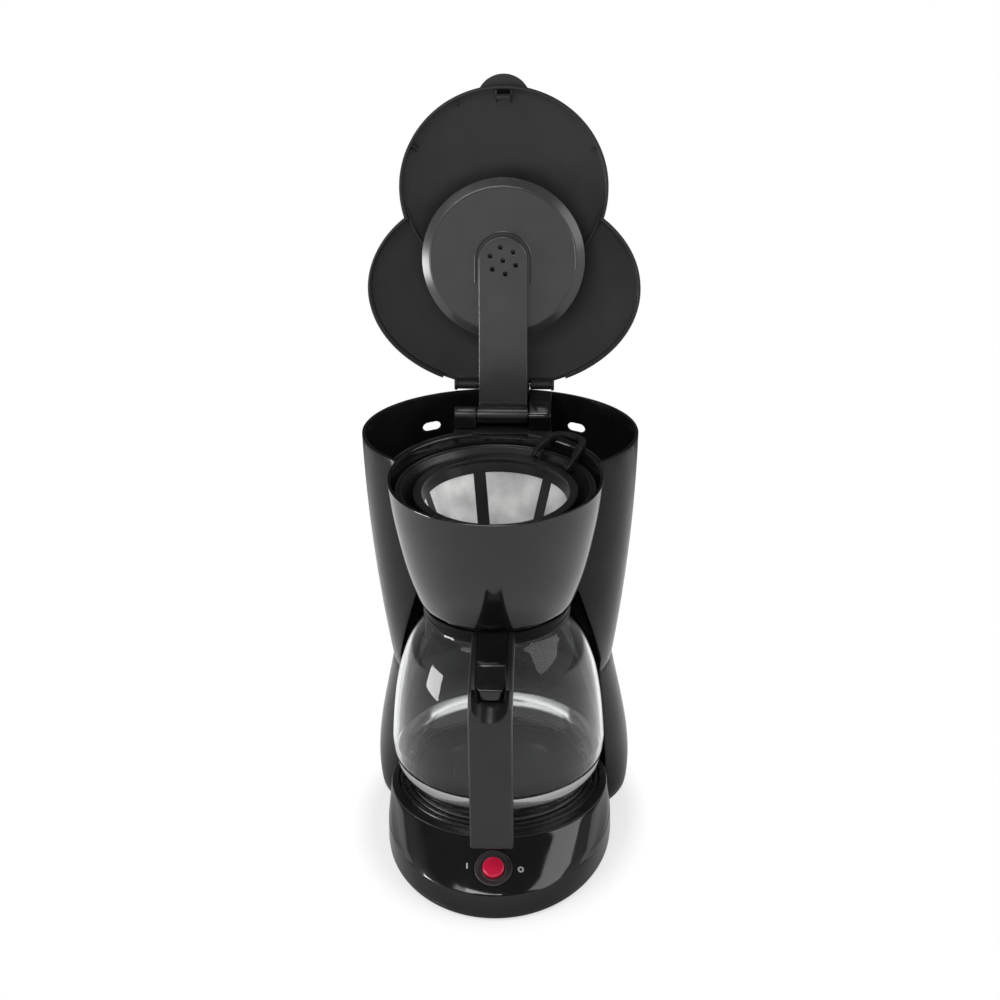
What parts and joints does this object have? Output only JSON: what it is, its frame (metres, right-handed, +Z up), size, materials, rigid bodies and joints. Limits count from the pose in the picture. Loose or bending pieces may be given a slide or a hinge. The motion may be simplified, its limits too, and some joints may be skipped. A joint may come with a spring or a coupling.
{
  "type": "drip coffee maker",
  "caption": "Drip coffee maker: glass carafe on a hot plate under a conical brew hood, water tank behind, hinged lid with swinging spray arm, permanent filter.",
  "frame": {"origin": "on the common axis of hood, basket, carafe and hot plate, at the level of the table", "axes": "+Z up; -Y is the front with the switch; +X to the right seen from the front"},
  "size_m": [0.2028, 0.3129, 0.5312],
  "materials": {
    "black_gloss": "glossy moulded",
    "black_satin": "satin moulded",
    "grey_satin": "satin moulded",
    "red": "glossy moulded",
    "white_mark": "printed",
    "rubber": "soft matt",
    "silicone": "translucent matt",
    "coated_plate": "non-stick coating",
    "aluminium": "cast",
    "steel": "plain",
    "mesh": "fine nylon mesh",
    "glass": "clear blown",
    "lead_sleeve": "woven sleeve"
  },
  "bodies": {
    "machine": {"base_housing": "black_gloss", "base_plate": "black_satin", "rubber_feet": "rubber", "housing_screws": "steel", "sealing_ring": "rubber", "hot_plate": "coated_plate", "water_tube": "aluminium", "heating_element": "aluminium", "heat_spreader": "aluminium", "element_clamp": "steel", "thermostat": "steel", "thermal_fuses": "steel", "lower_housing": "black_gloss", "cord_inlet": "black_satin", "tank_housing": "black_gloss", "water_column": "black_satin", "brew_hood": "black_gloss", "arm_bearing": "black_satin", "outlet_elbow": "black_satin", "hinge_bracket": "black_gloss", "lid_hinge_pin": "steel", "inlet_hose": "silicone", "tank_hose": "silicone", "riser_hose": "silicone", "check_valve": "black_satin", "hose_clamps": "steel", "switch_bezel": "black_gloss", "switch_body": "black_satin", "switch_marks": "white_mark", "button_spring": "steel", "mains_leads": "lead_sleeve"},
    "lid": {"lid_shell": "black_gloss"},
    "shower": {"spray_arm": "grey_satin", "splash_disc": "grey_satin", "disc_screws": "steel"},
    "button": {"power_button": "red"},
    "basket": {"brew_basket": "black_gloss", "valve_spring": "steel"},
    "valve": {"drip_valve": "grey_satin", "valve_seal": "rubber"},
    "filter": {"filter_frame": "black_satin", "filter_foot": "black_satin", "filter_mesh": "mesh"},
    "bail": {"filter_handle": "black_satin"},
    "ball": {"check_ball": "steel"},
    "carafe": {"carafe_glass": "glass", "carafe_collar": "black_gloss", "carafe_handle": "black_satin", "handle_screw": "steel", "carafe_lid": "black_gloss", "lid_lever": "black_gloss", "carafe_lid_pin": "steel"}
  },
  "joints": [
    {"name": "lid_hinge", "type": "hinge", "parent": "machine", "child": "lid", "pos_m": [0, 0.149, 0.299], "axis": [1, 0, 0], "range_deg": [0, 100]},
    {"name": "shower_swing", "type": "hinge", "parent": "machine", "child": "shower", "pos_m": [0, 0.118, 0.2875], "axis": [1, 0, 0], "range_deg": [0, 102]},
    {"name": "button_press", "type": "slide", "parent": "machine", "child": "button", "axis": [0, -0.5493, 0.8356], "range_m": [-0.0026, 0], "stiffness_N_per_m": 500, "deforming": ["button_spring"]},
    {"name": "basket_lift", "type": "slide", "parent": "machine", "child": "basket", "axis": [0, 0, -1], "range_m": [-0.1, 0]},
    {"name": "valve_lift", "type": "slide", "parent": "basket", "child": "valve", "axis": [0, 0, 1], "range_m": [0, 0.0026], "stiffness_N_per_m": 150, "springref_m": -0.001, "deforming": ["valve_spring"]},
    {"name": "filter_lift", "type": "slide", "parent": "basket", "child": "filter", "axis": [0, 0, -1], "range_m": [-0.075, 0]},
    {"name": "bail_fold", "type": "hinge", "parent": "filter", "child": "bail", "pos_m": [0.03848, 0.04273, 0.2866], "axis": [-0.7431, 0.6691, 0], "range_deg": [-95, 0]},
    {"name": "ball_lift", "type": "slide", "parent": "machine", "child": "ball", "axis": [0, 0, 1], "range_m": [0, 0.004]},
    {"name": "carafe_slide", "type": "slide", "parent": "machine", "child": "carafe", "axis": [0, -1, 0], "range_m": [0, 0.205]}
  ],
  "couplings": [
    {"joint": "shower_swing", "follows": "lid_hinge", "ratio": 1.02}
  ]
}
